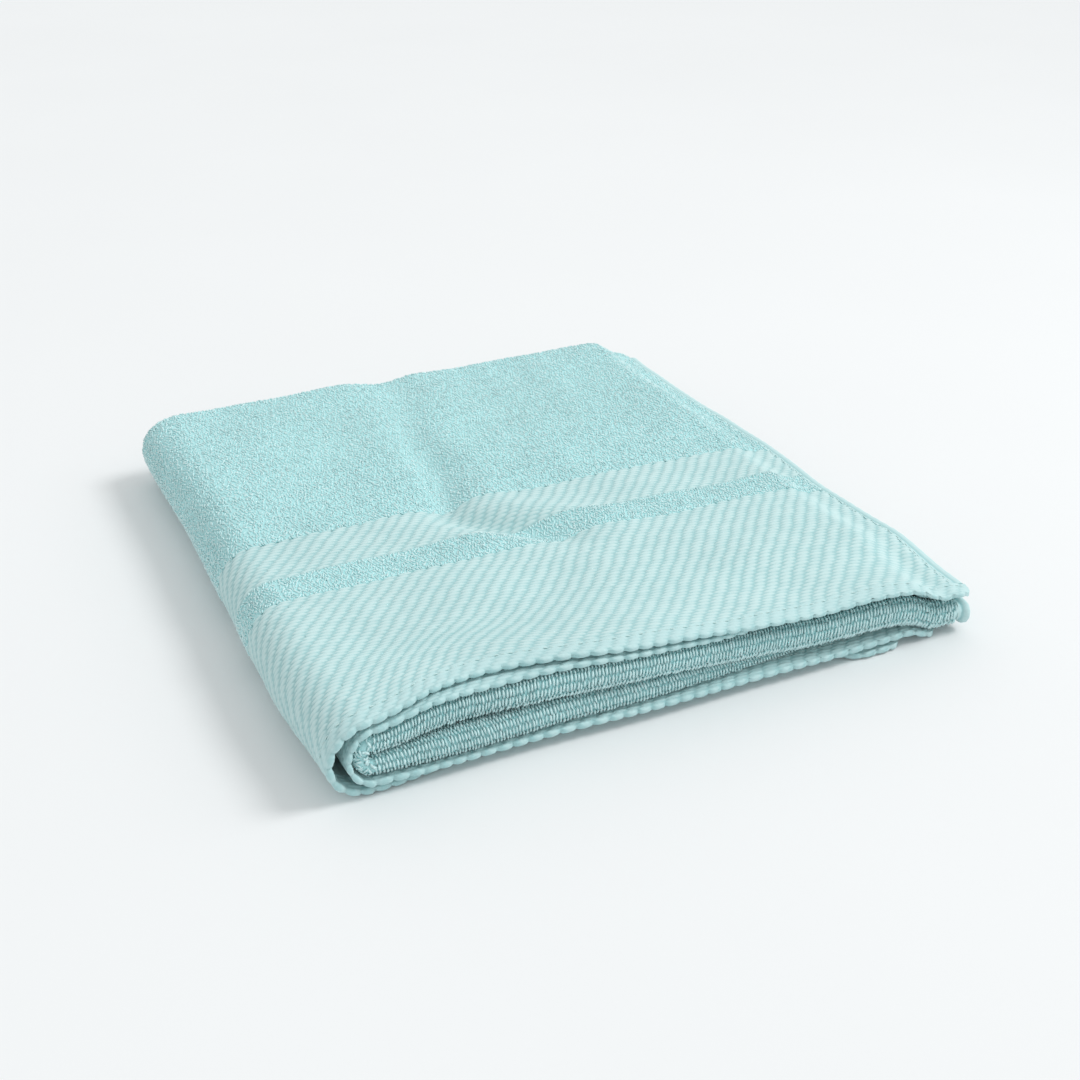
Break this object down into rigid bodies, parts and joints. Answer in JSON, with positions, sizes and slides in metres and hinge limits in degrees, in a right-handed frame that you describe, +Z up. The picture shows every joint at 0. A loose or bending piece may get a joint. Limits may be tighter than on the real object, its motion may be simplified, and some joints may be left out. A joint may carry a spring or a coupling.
{
  "type": "folded bath towel",
  "caption": "Terry bath towel with woven borders and sewn hems, folded into a flat stack that opens like a book about its round left fold.",
  "frame": {"origin": "middle of the underside of the folded stack, on the surface it lies on", "axes": "+X from the round book fold to the long edges of the cloth, +Y from the hems at the front to the back fold, +Z up"},
  "size_m": [0.35, 0.368, 0.0432],
  "materials": {
    "terry": "looped cotton terry, soft and matt",
    "pique": "flat woven cotton with a raised lattice, matt",
    "hem": "turned and sewn cotton hem, matt",
    "thread": "spun cotton sewing thread"
  },
  "bodies": {
    "lower_half": {"end_hem_outer_lower": "hem", "wide_border_outer_lower": "pique", "terry_stripe_outer_lower": "terry", "narrow_border_outer_lower": "pique", "end_hem_thread_outer_lower": "thread", "end_hem_inner_lower": "hem", "wide_border_inner_lower": "pique", "terry_stripe_inner_lower": "terry", "narrow_border_inner_lower": "pique", "end_hem_thread_inner_lower": "thread", "terry_field_lower": "terry", "side_hem_lower": "hem", "side_hem_thread_lower": "thread", "end_hem_outer_book_fold": "hem", "wide_border_outer_book_fold": "pique", "terry_stripe_outer_book_fold": "terry", "narrow_border_outer_book_fold": "pique", "end_hem_thread_outer_book_fold": "thread", "end_hem_inner_book_fold": "hem", "wide_border_inner_book_fold": "pique", "terry_stripe_inner_book_fold": "terry", "narrow_border_inner_book_fold": "pique", "end_hem_thread_inner_book_fold": "thread", "terry_field_book_fold": "terry"},
    "upper_half": {"end_hem_outer_upper": "hem", "wide_border_outer_upper": "pique", "terry_stripe_outer_upper": "terry", "narrow_border_outer_upper": "pique", "end_hem_thread_outer_upper": "thread", "end_hem_inner_upper": "hem", "wide_border_inner_upper": "pique", "terry_stripe_inner_upper": "terry", "narrow_border_inner_upper": "pique", "end_hem_thread_inner_upper": "thread", "terry_field_upper": "terry", "side_hem_upper": "hem", "side_hem_thread_upper": "thread"}
  },
  "joints": [
    {"name": "book_fold", "type": "hinge", "parent": "lower_half", "child": "upper_half", "pos_m": [-0.1534, 0, 0.0216], "axis": [0, -1, 0], "range_deg": [0, 179.5], "deforming": ["end_hem_outer_book_fold", "wide_border_outer_book_fold", "terry_stripe_outer_book_fold", "narrow_border_outer_book_fold", "end_hem_thread_outer_book_fold", "end_hem_inner_book_fold", "wide_border_inner_book_fold", "terry_stripe_inner_book_fold", "narrow_border_inner_book_fold", "end_hem_thread_inner_book_fold", "terry_field_book_fold"]}
  ]
}
